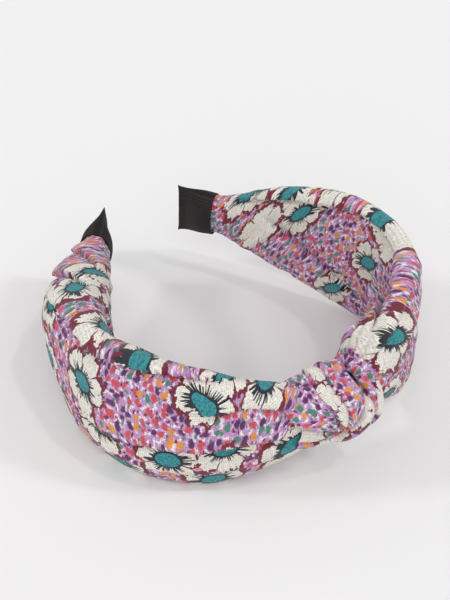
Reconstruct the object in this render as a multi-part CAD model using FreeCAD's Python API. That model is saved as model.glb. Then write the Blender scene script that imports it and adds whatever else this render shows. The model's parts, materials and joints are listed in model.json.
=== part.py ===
import FreeCAD, Part

import math
import os

from FreeCAD import Vector

# Knotted fabric headband, lying on its side: +Z up, crown and knot towards -Y,
# open ends towards +Y.  The stiff strip inside runs along one flat curve, the band line.
# Everything else is placed by its distance along that line.  All sizes are millimetres.

# Band line
line_half_width = 64.7
line_depth = 80.2
line_side_bulge = 0.40         # how far the sides swell out past a plain ellipse
line_end_angle = 152.0         # degrees from the crown to each end
line_side_lean = 0.05          # the open ends sit a little to the left

# Stiff strip
strip_height = 12.0
strip_thickness = 1.5
strip_end_setback = 4.0        # from the end of the ribbon cap to the end of the strip
strip_clearance = 0.35

# Printed crepe cover
cover_wall = 0.5
cover_corner_power = 0.9       # below 1 the section is a little squarer than an ellipse
cover_end_setback = 10.0       # from the end of the ribbon cap to the gathered raw edge

# Stations of each arm: share of the way from ribbon edge to knot, then top, bottom and
# half thickness in mm, the lean of the top outwards in degrees, and the shift outwards in mm
left_stations = [
    (0.08, 13.5, -13.0, 10.5, 0.0, 1.0),
    (0.25, 20.3, -22.8, 15.0, 3.0, 4.5),
    (0.42, 22.0, -31.8, 11.5, -6.0, 3.0),
    (0.55, 26.0, -32.9, 10.5, -7.0, 0.0),
    (0.70, 25.6, -33.1, 9.0, -1.0, 0.0),
    (0.82, 20.5, -27.5, 8.5, 2.0, 0.0),
    (0.90, 16.0, -23.0, 9.0, 4.0, 0.0),
]
right_stations = [
    (0.08, 15.5, -14.0, 7.0, 0.0, 0.0),
    (0.25, 28.1, -23.5, 7.0, 0.0, 0.0),
    (0.50, 35.7, -32.9, 5.5, -5.0, 0.0),
    (0.66, 35.0, -33.1, 6.0, -4.0, -2.0),
    (0.78, 31.5, -24.0, 8.5, 0.0, -3.5),
    (0.90, 26.5, -12.5, 10.5, 4.0, -3.5),
]
rest_depth = 32.3              # from the band line down to the floor

# Interlining and the sewn seam inside the cover
lining_half_thickness = 0.55
lining_gap = 0.9               # between the strip's outer face and the lining
lining_height_share = 0.58     # of the cover's height, so that it clears the curved walls
lining_knot_setback = 6.0      # from the cover's knot end
lining_tip_setback = 14.0      # from the ribbon edge
seam_thread_radius = 0.4
seam_gap = 2.0                 # between the seam thread and the cover's wall

# Ribbon cap on each end
ribbon_length = 19.0
ribbon_wall = 0.6
ribbon_end_half_height = 13.2
ribbon_edge_half_height = 11.3
ribbon_end_half_thickness = 1.25
ribbon_edge_half_thickness = 7.5
ribbon_end_wall = 0.8          # folded end of the cap
gather_thread_radius = 0.3
gather_thread_pitch = 0.8
gather_thread_turns = 4
gather_thread_setback = 12.0   # from the end of the cap to the first turn
layer_gap = 0.1
glue_length = 1.8

# Knot, with its middle on the band line at the crown
knot_half_length = 17.5        # the arms bend just outside this
knot_arm_gap = 3.0
under_end_setback = 1.0
under_half_height = 11.0
under_half_thickness = 5.0
wrap_from = -17.0              # along the band
wrap_to = 6.5
wrap_half_height = 15.5
wrap_half_thickness = 12.5
wrap_outward = 2.0             # the wrap stands further out than in
wrap_bottom = -3.5             # lower edge of the wrap on its outer side
wrap_slant = 10.0              # degrees
strap_length = 9.0
strap_half_height = 15.0
strap_half_thickness = 10.5
fold_wall = 4.2                # folded cloth in the wrap and the strap
fold_gap = 0.3
fold_swell = 1.5               # a fold is fuller in its middle
tail_from = -17.0
tail_half_height = 6.4
tail_half_thickness = 8.5
tail_drop = 9.8                # from the band line down to the middle of the tail
tail_to = -2.0
loop_radius = 4.6
loop_points = [                # along the band, outwards, up
    (9.5, 8.5, 7.5),
    (13.0, 13.5, 0.5),
    (9.5, 14.0, -8.0),
    (2.0, 9.5, -12.0),
]
tack_radius = 0.4
tack_length = 3.0
tack_spacing = 9.0
tack_count = 2

# How finely curves are drawn, and how far a cutting solid runs past what it cuts
line_steps = 60
section_points = 16
strip_points = 41
arm_rows = 18
gathered_rows = 4
lining_rows = 17
cap_rows = 5
strand_rows = 7
past = 2.0

up = Vector(0, 0, 1)


def line_point(angle):
    """Point of the band line at an angle in radians from the crown."""
    x = line_half_width * math.sin(angle) * (1 + line_side_bulge * math.cos(angle))
    y = -line_depth * math.cos(angle)
    return Vector(x - line_side_lean * (y + line_depth), y, 0)


end_angle = math.radians(line_end_angle)
band_curve = Part.BSplineCurve()
line_angles = [end_angle * (2.0 * i / line_steps - 1) for i in range(line_steps + 1)]
band_curve.interpolate([line_point(angle) for angle in line_angles])
band_line = band_curve.toShape()
left_half = Part.Edge(band_curve, band_curve.FirstParameter, band_curve.parameter(line_point(0)))
arm_length = {-1: left_half.Length, 1: band_line.Length - left_half.Length}


def frame_at(distance):
    """Point of the band line, its direction, and outwards, at a distance from the knot."""
    parameter = band_line.getParameterByLength(arm_length[-1] + distance)
    along = band_line.tangentAt(parameter)
    return band_line.valueAt(parameter), along, along.cross(up)


def smooth_value(stations, column, place):
    """Value between the stations, without overshoot."""
    places = [row[0] for row in stations]
    values = [row[column] for row in stations]
    place = min(max(place, places[0]), places[-1])
    i = max(k for k in range(len(places) - 1) if places[k] <= place)
    slopes = [(values[k + 1] - values[k]) / (places[k + 1] - places[k]) for k in range(len(places) - 1)]

    def tangent(k):
        if k == 0 or k == len(places) - 1:
            return slopes[min(k, len(slopes) - 1)]
        if slopes[k - 1] * slopes[k] <= 0:
            return 0.0
        return 2 * slopes[k - 1] * slopes[k] / (slopes[k - 1] + slopes[k])

    span = places[i + 1] - places[i]
    t = (place - places[i]) / span
    return ((2 * t ** 3 - 3 * t ** 2 + 1) * values[i] + (t ** 3 - 2 * t ** 2 + t) * span * tangent(i)
            + (3 * t ** 2 - 2 * t ** 3) * values[i + 1] + (t ** 3 - t ** 2) * span * tangent(i + 1))


def leaning_point(distance, across, rise, lean):
    """Point of a section that leans about the band line."""
    origin, along, outward = frame_at(distance)
    tilt = math.radians(lean)
    out = across * math.cos(tilt) + rise * math.sin(tilt)
    return origin + outward * out + up * (rise * math.cos(tilt) - across * math.sin(tilt))


def closed_section(distance, top, bottom, half_thickness, lean, power=1.0, shift_out=0.0):
    """Closed smooth outline standing across the band line."""
    points = []
    for i in range(section_points):
        angle = 2 * math.pi * i / section_points
        across = math.copysign(abs(math.cos(angle)) ** power, math.cos(angle)) * half_thickness
        rise = math.copysign(abs(math.sin(angle)) ** power, math.sin(angle)) * (top - bottom) / 2.0
        points.append(leaning_point(distance, across + shift_out, rise + (top + bottom) / 2.0, lean))
    outline = Part.BSplineCurve()
    outline.interpolate(Points=points, PeriodicFlag=True)
    return Part.Wire([outline.toShape()])


def arm_sizes(side, tip_distance):
    """Top, bottom, half thickness, lean and outward shift of the cover at a distance from the tip."""
    edge_inset = ribbon_wall + 2 * layer_gap + 2 * gather_thread_radius
    cap = [cap_row(place) for place in steps(cover_end_setback, ribbon_length, gathered_rows)]
    stations = [(row[0], row[1] - edge_inset, edge_inset - row[1], row[2] - edge_inset, 0.0, 0.0)
                for row in cap]
    free = arm_length[side] - ribbon_length
    shape = left_stations if side < 0 else right_stations
    stations += [(ribbon_length + row[0] * free,) + row[1:] for row in shape]
    return [smooth_value(stations, column, tip_distance) for column in (1, 2, 3, 4, 5)]


def arm_section(side, tip_distance, inset):
    """Section of an arm, inset from the cover's outer face."""
    top, bottom, thick, lean, shift = arm_sizes(side, tip_distance)
    distance = side * (arm_length[side] - tip_distance)
    return closed_section(distance, top - inset, bottom + inset, thick - inset, lean, cover_corner_power,
                          shift)


def lining_section(side, tip_distance):
    """Section of the interlining, which stands just outside the strip."""
    top, bottom, thick, lean, shift = arm_sizes(side, tip_distance)
    distance = side * (arm_length[side] - tip_distance)
    shift_out = strip_thickness / 2.0 + lining_gap + lining_half_thickness
    return closed_section(distance, top * lining_height_share, bottom * lining_height_share,
                          lining_half_thickness, lean, cover_corner_power, shift_out)


def seam_point(side, tip_distance):
    """Point of the seam thread, in the bottom of the sleeve or just above where it is pressed flat."""
    top, bottom, thick, lean, shift = arm_sizes(side, tip_distance)
    low = max(bottom, -rest_depth) + cover_wall + seam_gap
    return leaning_point(side * (arm_length[side] - tip_distance), shift, low + seam_thread_radius, lean)


def cap_row(place):
    """Half height and half thickness of the ribbon cap at a distance from its end."""
    share = place / ribbon_length
    height = ribbon_end_half_height + (ribbon_edge_half_height - ribbon_end_half_height) * share
    thick = ribbon_end_half_thickness + (ribbon_edge_half_thickness - ribbon_end_half_thickness) * share
    return place, height, thick


def cap_section(side, place, inset):
    """Section of the ribbon cap at a distance from its end."""
    row = cap_row(place)
    height, thick = row[1] - inset, row[2] - inset
    distance = side * (arm_length[side] - place)
    return closed_section(distance, height, -height, thick, 0.0, cover_corner_power)


def steps(start, stop, count):
    """Evenly spaced values from start to stop."""
    return [start + (stop - start) * i / (count - 1.0) for i in range(count)]


def loft(sections):
    """Smooth closed solid through the sections."""
    return Part.makeLoft(sections, True, False)


def above_floor(solid, height):
    """The part of a solid that is higher than a height above the floor."""
    size = 4 * line_depth
    below = Part.makeBox(size, size, size, Vector(-size / 2, -size / 2, height - rest_depth - size))
    return solid.cut(below)


def strip_between(start, stop, thickness, height):
    """Flat strip standing on edge along the band line."""
    places = steps(start, stop, strip_points)
    edges = []
    for face_side in (0.5, -0.5):
        face_line = Part.BSplineCurve()
        points = [frame_at(place)[0] + frame_at(place)[2] * thickness * face_side for place in places]
        face_line.interpolate(points)
        edges.append(face_line.toShape())
    far_end = Part.makeLine(edges[0].lastVertex().Point, edges[1].lastVertex().Point)
    near_end = Part.makeLine(edges[1].firstVertex().Point, edges[0].firstVertex().Point)
    outline = Part.Wire([edges[0], far_end, edges[1], near_end])
    outline.translate(up * (-height / 2))
    return Part.Face(outline).extrude(up * height)


def knot_section(place, half_height, half_thickness, inset=0.0, shift_out=0.0, drop=0.0):
    """Section of a strand of the knot."""
    return closed_section(place, half_height - inset - drop, inset - half_height - drop,
                          half_thickness - inset, 0.0, 1.0, shift_out)


def strand(start, stop, half_height, half_thickness, inset=0.0, shift_out=0.0, drop=0.0):
    """Short strand of folded cloth along the band, fuller in its middle."""
    sections = []
    for i, place in enumerate(steps(start, stop, strand_rows)):
        grown = fold_swell * math.sin(math.pi * i / (strand_rows - 1.0))
        size = (half_height + grown, half_thickness + grown)
        sections.append(knot_section(place, size[0], size[1], inset, shift_out, drop))
    return loft(sections)


def tube_along(points, radius):
    """Round length through the points, closed by half balls."""
    curve = Part.BSplineCurve()
    curve.interpolate(points)
    path = curve.toShape()
    ring = Part.Circle(points[0], path.tangentAt(path.FirstParameter), radius)
    roll = Part.Wire([path]).makePipeShell([Part.Wire([ring.toShape()])], True, False)
    for end in (points[0], points[-1]):
        roll = roll.fuse(Part.makeSphere(radius, end))
    return roll


def from_crown(along_band, out, height):
    """Point given along the band, outwards and up from the middle of the knot."""
    origin, along, outward = frame_at(0.0)
    return origin + along * along_band + outward * out + up * height


nodes = {}

# Stiff strip from end to end
strip_ends = [side * (arm_length[side] - strip_end_setback) for side in (-1, 1)]
nodes["core_strip"] = strip_between(strip_ends[0], strip_ends[1], strip_thickness, strip_height)
slot_thickness = strip_thickness + 2 * strip_clearance
slot_height = strip_height + 2 * strip_clearance

for side, name in ((-1, "left"), (1, "right")):
    length = arm_length[side]
    knot_end = length - knot_half_length - knot_arm_gap

    # Cover: a hollow sleeve, gathered at the tip and pressed flat where it rests
    gathered = steps(cover_end_setback, ribbon_length, gathered_rows)
    places = gathered + steps(ribbon_length, knot_end, arm_rows)[1:]
    outside = above_floor(loft([arm_section(side, d, 0.0) for d in places]), 0.0)
    past_ends = [cover_end_setback - past] + places + [knot_end + past]
    cavity = loft([arm_section(side, d, cover_wall) for d in past_ends])
    nodes[name + "_cover"] = outside.cut(above_floor(cavity, cover_wall))

    # Interlining: a soft sheet on the outer face of the strip, which keeps the sleeve wide
    lining_places = steps(ribbon_length + lining_tip_setback, knot_end - lining_knot_setback, lining_rows)
    nodes[name + "_interlining"] = loft([lining_section(side, d) for d in lining_places])

    # Seam thread along the bottom of the sleeve
    seam_path = [seam_point(side, d) for d in lining_places]
    nodes[name + "_seam_thread"] = tube_along(seam_path, seam_thread_radius)

    # Ribbon cap: open at the cover, folded shut and pinched flat at the end
    cap = loft([cap_section(side, place, 0.0) for place in steps(0.0, ribbon_length, cap_rows)])
    hollow = loft([cap_section(side, place, ribbon_wall)
                   for place in steps(ribbon_end_wall, ribbon_length + past, cap_rows)])
    nodes[name + "_tip_ribbon"] = cap.cut(hollow)

    # Gather thread wound round the cover's raw end, under the ribbon
    turns = []
    for i in range(gather_thread_turns):
        place = gather_thread_setback + i * gather_thread_pitch
        band = [place - gather_thread_radius, place + gather_thread_radius]
        outer = loft([arm_section(side, d, -layer_gap - 2 * gather_thread_radius) for d in band])
        inner = loft([arm_section(side, d, -layer_gap) for d in (band[0] - past / 4, band[1] + past / 4)])
        turns.append(outer.cut(inner))
    nodes[name + "_gather_thread"] = Part.makeCompound(turns)

    # Bead of glue between the end of the strip and the end of the cap
    glue_from = ribbon_end_wall + layer_gap
    nodes[name + "_tip_glue"] = loft([cap_section(side, place, ribbon_wall + layer_gap)
                                      for place in steps(glue_from, glue_from + glue_length, cap_rows)])

# Loop of cloth that rolls out of the knot and back under it
loop_path = [from_crown(*point) for point in loop_points]
nodes["knot_loop"] = tube_along(loop_path, loop_radius)
loop_room = tube_along(loop_path, loop_radius + fold_gap)

# Under strand round the strip
under_end = knot_half_length - under_end_setback
under = strand(-under_end, under_end, under_half_height, under_half_thickness)
slot = strip_between(-under_end - past, under_end + past, slot_thickness, slot_height)
under_room = strand(-under_end - past, under_end + past, under_half_height + fold_gap,
                    under_half_thickness + fold_gap)
nodes["knot_under_strand"] = under.cut(slot).cut(loop_room)


def fold_ring(start, stop, half_height, half_thickness, shift_out):
    """Fold of cloth wrapped round the under strand."""
    outer = strand(start, stop, half_height, half_thickness, 0.0, shift_out)
    ring = outer.cut(strand(start - past, stop + past, half_height, half_thickness, fold_wall, shift_out))
    return ring.cut(under_room).cut(loop_room)


# Wide wrap over the front, open below where the tail runs under it
wrap = fold_ring(wrap_from, wrap_to, wrap_half_height, wrap_half_thickness, wrap_outward)
below_wrap = Part.makeBox(6 * wrap_half_thickness, 2 * wrap_half_thickness, 2 * wrap_half_height,
                          Vector(-3 * wrap_half_thickness, -2 * wrap_half_thickness, -2 * wrap_half_height))
below_wrap.rotate(Vector(0, 0, 0), Vector(0, 1, 0), wrap_slant)
below_wrap.translate(from_crown(0.0, 0.0, wrap_bottom))
nodes["knot_wrap"] = wrap.cut(below_wrap)

# Narrow strap beside the wrap
strap_from = wrap_to + fold_gap
nodes["knot_strap"] = fold_ring(strap_from, strap_from + strap_length, strap_half_height,
                                strap_half_thickness, wrap_outward)

# Tail of the left sleeve, passing under the wrap to the loop
tail = strand(tail_from, tail_to, tail_half_height, tail_half_thickness, 0.0, wrap_outward, tail_drop)
tail = tail.cut(under_room).cut(loop_room).cut(nodes["knot_wrap"])
nodes["knot_tail"] = max(tail.Solids, key=lambda solid: solid.Volume)

# Tack stitches that hold the wrap to the under strand on the head side
stitches = []
tack_out = wrap_outward - wrap_half_thickness - fold_swell - tack_radius - layer_gap
for i in range(tack_count):
    place = (wrap_from + wrap_to) / 2.0 + tack_spacing * (i - (tack_count - 1) / 2.0)
    start = from_crown(place, tack_out, 0.0)
    stitches.append(Part.makeCylinder(tack_radius, tack_length, start - up * tack_length / 2, up))
nodes["knot_tack_stitches"] = Part.makeCompound(stitches)

# Origin at the middle of the floor area
everything = Part.makeCompound(list(nodes.values())).optimalBoundingBox(False, False)
shift = Vector(-everything.Center.x, -everything.Center.y, rest_depth)

os.makedirs("parts", exist_ok=True)
for name, shape in nodes.items():
    shape.translate(shift)
    shape.exportStep("parts/" + name + ".step")
    print(name, shape.ShapeType, len(shape.Solids), shape.isValid(), round(shape.Volume, 1))

print("size", [round(v, 2) for v in (everything.XLength, everything.YLength, everything.ZLength)])
print("arm lengths", round(arm_length[-1], 2), round(arm_length[1], 2))
for side, name in ((-1, "left"), (1, "right")):
    hinge = frame_at(side * knot_half_length)[0] + shift
    print(name, "bend", [round(v, 2) for v in hinge])
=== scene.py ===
import json
import math

import bmesh
import bpy
import numpy as np
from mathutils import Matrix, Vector, noise


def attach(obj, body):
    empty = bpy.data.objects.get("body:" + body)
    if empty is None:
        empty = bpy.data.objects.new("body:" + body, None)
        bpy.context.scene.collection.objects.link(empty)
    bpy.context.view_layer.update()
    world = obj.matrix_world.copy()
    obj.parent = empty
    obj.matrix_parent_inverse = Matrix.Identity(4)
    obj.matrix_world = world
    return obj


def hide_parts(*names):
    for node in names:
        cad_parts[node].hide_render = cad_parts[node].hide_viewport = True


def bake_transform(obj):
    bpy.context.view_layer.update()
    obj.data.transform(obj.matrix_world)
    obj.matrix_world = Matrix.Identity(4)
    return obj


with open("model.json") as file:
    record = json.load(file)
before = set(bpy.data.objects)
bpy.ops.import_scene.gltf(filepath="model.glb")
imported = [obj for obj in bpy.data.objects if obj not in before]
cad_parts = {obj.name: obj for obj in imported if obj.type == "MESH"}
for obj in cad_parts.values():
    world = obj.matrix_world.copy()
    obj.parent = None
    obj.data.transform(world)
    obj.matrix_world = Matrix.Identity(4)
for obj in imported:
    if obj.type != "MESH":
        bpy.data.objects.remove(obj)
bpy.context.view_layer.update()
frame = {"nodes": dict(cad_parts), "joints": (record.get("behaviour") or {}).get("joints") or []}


# Stiff strip: a springy ABS strip 12 mm wide that runs from tip to tip inside the cloth.
# It is bent flat-wise along one smooth curve, the band line, from which everything else is
# measured.  Distances are in millimetres, minus to the left of the crown and plus to the right.
millimetre = 0.001
line_half_width = 64.7
line_depth = 80.2
line_side_bulge = 0.40
line_end_angle = 152.0
line_side_lean = 0.05
knot_half_length = 17.5
strip_height = 12.0
strip_thickness = 1.5
strip_end_setback = 4.0
strip_cells = 70               # along each half, so that it bends smoothly
strip_edge_rounding = 0.3
strip_black = "#161618"

line_steps = 3001
line_angle = np.radians(np.linspace(-line_end_angle, line_end_angle, line_steps))
line_y = -line_depth * np.cos(line_angle)
line_x = line_half_width * np.sin(line_angle) * (1 + line_side_bulge * np.cos(line_angle))
line_x = line_x - line_side_lean * (line_y + line_depth)
line_run = np.concatenate([[0.0], np.cumsum(np.hypot(np.diff(line_x), np.diff(line_y)))])
line_run = line_run - line_run[len(line_run) // 2]
line_way = np.stack([np.gradient(line_x, line_run), np.gradient(line_y, line_run)])
arm_length = {-1: -line_run[0], 1: line_run[-1]}
sides = ((-1, "left"), (1, "right"))


def band_point(distance, out, height):
    """Places at distances along the band line, outwards from it and above it, from its own origin."""
    x, y, way_x, way_y = [np.interp(distance, line_run, row) for row in (line_x, line_y, *line_way)]
    return np.stack([x + way_y * out, y - way_x * out, height + 0.0 * x], axis=-1)


hinges = {joint["child"]: np.array(joint["pos_m"]) / millimetre for joint in frame["joints"]}
line_origin = hinges["left_arm"] - band_point(-knot_half_length, 0.0, 0.0)


def in_frame(places):
    """Places from the band line's origin in millimetres, as places in the frame in metres."""
    return (np.asarray(places) + line_origin) * millimetre


def bend_with_arm(piece):
    """The piece's placement, baked into its mesh."""
    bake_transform(piece)


def linear(hex_colour):
    """sRGB hex colour as linear red, green, blue and alpha."""
    parts = [int(hex_colour[i:i + 2], 16) / 255.0 for i in (1, 3, 5)]
    return [part / 12.92 if part <= 0.04045 else ((part + 0.055) / 1.055) ** 2.4 for part in parts] + [1.0]


def add(tree, kind, inputs, output=0, **settings):
    """Adds a node with its settings; inputs are values or other nodes' outputs, in order or by socket."""
    new = tree.nodes.new("ShaderNode" + kind)
    for setting, value in settings.items():
        setattr(new, setting, value)
    pairs = inputs.items() if isinstance(inputs, dict) else enumerate(inputs)
    for socket, value in pairs:
        if isinstance(value, bpy.types.NodeSocket):
            tree.links.new(value, new.inputs[socket])
        else:
            new.inputs[socket].default_value = value
    return new if output is None else new.outputs[output]


def new_material(name, **settings):
    """A material with its shader's own sockets set, its node tree and its shader."""
    material = bpy.data.materials.new(name)
    material.use_nodes = True
    shader = material.node_tree.nodes["Principled BSDF"]
    for socket, value in settings.items():
        shader.inputs[socket.replace("_", " ")].default_value = value
    return material, material.node_tree, shader


# Moulded ABS: a dull black with a faint grain from the mould
abs_plastic, tree, shader = new_material("black moulded ABS", Roughness=0.55, IOR=1.54)
place = add(tree, "TexCoord", {}, output=3)
grain = add(tree, "TexNoise", {"Vector": place, "Scale": 1 / (0.6 * millimetre), "Detail": 2.0})
tone = add(tree, "Mix", {0: grain, 6: linear(strip_black), 7: linear("#232326")}, output=2, data_type="RGBA")
tree.links.new(tone, shader.inputs["Base Color"])
tree.links.new(add(tree, "Bump", {"Height": grain, "Strength": 0.3, "Distance": 0.05 * millimetre}),
               shader.inputs["Normal"])


def new_piece(name, mesh, material, smooth=True):
    """A piece at the origin with its mesh and material."""
    mesh.name = name
    piece = bpy.data.objects.new(name, mesh)
    bpy.context.collection.objects.link(piece)
    mesh.materials.append(material)
    mesh.polygons.foreach_set("use_smooth", [smooth] * len(mesh.polygons))
    return piece


def mesh_places(mesh):
    """The mesh's vertices as an array."""
    flat = np.zeros(3 * len(mesh.vertices))
    mesh.vertices.foreach_get("co", flat)
    return flat.reshape(-1, 3)


def weld_and_turn_out(mesh, weld):
    """Welds vertices that meet within a distance in mm and points every face outwards."""
    shape = bmesh.new()
    shape.from_mesh(mesh)
    bmesh.ops.remove_doubles(shape, verts=shape.verts, dist=weld * millimetre)
    bmesh.ops.recalc_face_normals(shape, faces=shape.faces)
    shape.to_mesh(mesh)
    shape.free()
    mesh.update()


for side, name in sides:
    shape = bmesh.new()
    bmesh.ops.create_cube(shape, size=1.0)
    lengthwise = [edge for edge in shape.edges if abs((edge.verts[0].co - edge.verts[1].co).x) > 0.5]
    bmesh.ops.subdivide_edges(shape, edges=lengthwise, cuts=strip_cells, use_grid_fill=True)
    mesh = bpy.data.meshes.new(name)
    shape.to_mesh(mesh)
    shape.free()
    unit = mesh_places(mesh)
    run = side * (unit[:, 0] + 0.5) * (arm_length[side] - strip_end_setback)
    places = band_point(run, unit[:, 1] * strip_thickness, unit[:, 2] * strip_height)
    mesh.vertices.foreach_set("co", in_frame(places).ravel())
    weld_and_turn_out(mesh, 0.01)
    strip = new_piece(name + "_strip", mesh, abs_plastic, smooth=False)
    rounding = strip.modifiers.new("worn edges", "BEVEL")
    rounding.width = strip_edge_rounding * millimetre
    rounding.segments = 2
    bend_with_arm(strip)
    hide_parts("core_strip")


# Printed crepe sleeves: a tube of light woven crepe on each arm, wide over the side of the head.
# It is gathered into the ribbon at the tip and into the knot at the crown, and falls in long soft
# folds between them.  The seam lies along the bottom.
ribbon_length = 19.0
rest_depth = 32.3
sleeve_corner_power = 0.9
# Share of the way from ribbon edge to knot, top, bottom and half thickness in mm, lean of the top
# outwards in degrees, shift outwards in mm
sleeve_stations = {
    -1: [
        (-0.04, 10.8, -10.8, 3.6, 0.0, 0.0),
        (0.0, 9.9, -9.9, 6.1, 0.0, 0.0),
        (0.08, 13.5, -13.0, 10.5, 0.0, 1.0),
        (0.25, 20.3, -22.8, 15.0, 3.0, 4.5),
        (0.42, 20.3, -31.8, 11.0, -6.0, 3.5),
        (0.55, 24.6, -32.9, 10.5, -7.0, 0.5),
        (0.70, 25.6, -33.1, 9.0, -1.0, 0.0),
        (0.82, 20.5, -27.5, 8.5, 2.0, 0.0),
        (0.89, 16.0, -23.0, 9.0, 4.0, 0.0),
        (0.93, 12.5, -17.0, 8.5, 3.0, 0.0),
        (0.96, 9.0, -12.0, 7.0, 0.0, 0.0),
    ],
    1: [
        (-0.04, 10.8, -10.8, 3.6, 0.0, 0.0),
        (0.0, 9.9, -9.9, 6.1, 0.0, 0.0),
        (0.08, 15.5, -14.0, 7.0, 0.0, 0.0),
        (0.25, 28.1, -23.5, 7.0, 0.0, 0.0),
        (0.50, 35.7, -32.9, 5.5, -5.0, 0.0),
        (0.66, 35.0, -33.1, 6.0, -4.0, -2.0),
        (0.78, 31.5, -24.0, 8.5, 0.0, -3.5),
        (0.89, 26.5, -13.0, 10.5, 4.0, -3.5),
        (0.93, 18.0, -11.0, 9.5, 3.0, -1.5),
        (0.96, 11.0, -9.0, 7.0, 0.0, 0.0),
    ],
}


def between(rows, place):
    """Columns of rows whose first column is a place, smoothly and without overshoot at a place."""
    rows = np.array(rows)
    places, values = rows[:, 0], rows[:, 1:]
    slopes = np.diff(values, axis=0) / np.diff(places)[:, None]
    product = slopes[:-1] * slopes[1:]
    middle = np.where(product > 0, 2 * product / np.where(product > 0, slopes[:-1] + slopes[1:], 1), 0)
    tangents = np.concatenate([slopes[:1], middle, slopes[-1:]])
    place = np.clip(place, places[0], places[-1])
    i = np.clip(np.searchsorted(places, place, side="right") - 1, 0, len(slopes) - 1)
    span = (places[i + 1] - places[i])[..., None]
    t = ((place - places[i])[..., None]) / span
    return ((2 * t ** 3 - 3 * t ** 2 + 1) * values[i] + (t ** 3 - 2 * t ** 2 + t) * span * tangents[i]
            + (3 * t ** 2 - 2 * t ** 3) * values[i + 1] + (t ** 3 - t ** 2) * span * tangents[i + 1])


def signed_power(value, power):
    """Power of a number's size, with its sign kept."""
    return np.sign(value) * np.abs(value) ** power


def standing_section(side, tip_distance, angle, sizes):
    """Places round sections that stand across the band: 0 outwards, a quarter turn up, and on inwards."""
    top, bottom, thick, lean, shift = np.moveaxis(sizes, -1, 0)
    across = signed_power(np.cos(angle), sleeve_corner_power) * thick + shift
    rise = signed_power(np.sin(angle), sleeve_corner_power) * (top - bottom) / 2 + (top + bottom) / 2
    tilt = np.radians(lean)
    out = across * np.cos(tilt) + rise * np.sin(tilt)
    height = rise * np.cos(tilt) - across * np.sin(tilt)
    return band_point(side * (arm_length[side] - tip_distance), out, height)


def sleeve_section(side, tip_distance, angle):
    """Places on the smooth sleeve, before it has folds."""
    free = arm_length[side] - ribbon_length
    sizes = between(sleeve_stations[side], (tip_distance - ribbon_length) / free)
    return standing_section(side, tip_distance, angle, sizes)


section_steps = 361
seam_angle = -math.pi / 2      # the sleeve's seam, at the bottom


def sleeve_grid(side, tip_distances):
    """Angle and arc length round the sleeve, from its seam, for each distance from the tip."""
    angle = seam_angle + np.linspace(0, 2 * math.pi, section_steps)
    d, a = np.meshgrid(tip_distances, angle, indexing="ij")
    steps = np.linalg.norm(np.diff(sleeve_section(side, d, a), axis=1), axis=2)
    return angle, np.concatenate([np.zeros((len(tip_distances), 1)), np.cumsum(steps, axis=1)], axis=1)


def smooth_step(value):
    """0 below 0, 1 above 1 and smooth between."""
    value = np.clip(value, 0, 1)
    return value * value * (3 - 2 * value)


def curve_through(points, count):
    """Evenly spaced points on a smooth curve through the points."""
    points = np.array(points, dtype=float)
    run = np.concatenate([[0.0], np.cumsum(np.linalg.norm(np.diff(points, axis=0), axis=1))])
    rows = np.concatenate([run[:, None], points], axis=1)
    return between(rows, np.linspace(0, run[-1], count))


fold_points = 90               # along each fold's line
fold_fade = 0.18               # share of its length over which a fold fades at each end
fold_lip_start = 0.5           # mm before the line where the lip starts
fold_lip_rise = 0.7            # mm over which it rises
fold_lean = 0.8                # how far the lip leans over the line, as a share of its height
fold_lip_reach = 1.3           # mm over which the lip leans out over the line
fold_tuck_reach = 2.5          # mm over which the tuck runs out
fold_print_reach = 24.0        # mm over which the print's jump runs out


class Fold:
    """One fold that lies over its neighbour, with its lip on the left of a line on the cloth.

    The line and the cloth's places are in mm along the arm and round it.
    """

    def __init__(self, line, lip, reach, tuck, hidden):
        self.line = curve_through(line, fold_points)
        self.lip = lip         # height of the rolled edge
        self.reach = reach     # how far back the roll runs out
        self.tuck = tuck       # depth of the cloth beside the line
        self.hidden = hidden   # width of cloth hidden in the fold
        way = np.gradient(self.line, axis=0)
        self.way = way / np.linalg.norm(way, axis=1)[:, None]

    def measure(self, places):
        """Signed distance from the line, strength from 0 at its ends, and the way across it."""
        gap = places[:, None, :] - self.line[None]
        nearest = np.argmin((gap ** 2).sum(-1), axis=1)
        own = gap[np.arange(len(places)), nearest]
        way = self.way[nearest]
        aside = way[:, 0] * own[:, 1] - way[:, 1] * own[:, 0]
        share = nearest / (len(self.line) - 1.0)
        strength = smooth_step(share / fold_fade) * smooth_step((1 - share) / fold_fade)
        return aside, strength, np.stack([-way[:, 1], way[:, 0]], axis=-1)

    def heights(self, places):
        """Height over the smooth cloth, and how far the lip leans over the line, along and round."""
        aside, strength, across = self.measure(places)
        over = np.clip(aside, 0, None)
        under = np.clip(-aside, 0, None)
        roll = self.lip * (1 - np.exp(-(over + fold_lip_start) / fold_lip_rise)) * np.exp(-over / self.reach)
        height = np.where(aside > 0, roll, -self.tuck * np.exp(-under / fold_tuck_reach))
        lean = np.where(aside > 0, -fold_lean * self.lip * np.exp(-over / fold_lip_reach), 0.0)
        return strength * height, (strength * lean)[:, None] * across

    def jump(self, places):
        """How far the cloth hidden in the fold moves the print, and whether a place is over the line."""
        aside, strength, across = self.measure(places)
        width = self.hidden * strength * np.exp(-np.abs(aside) / fold_print_reach)
        return width[:, None] * across, aside > 0


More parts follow.
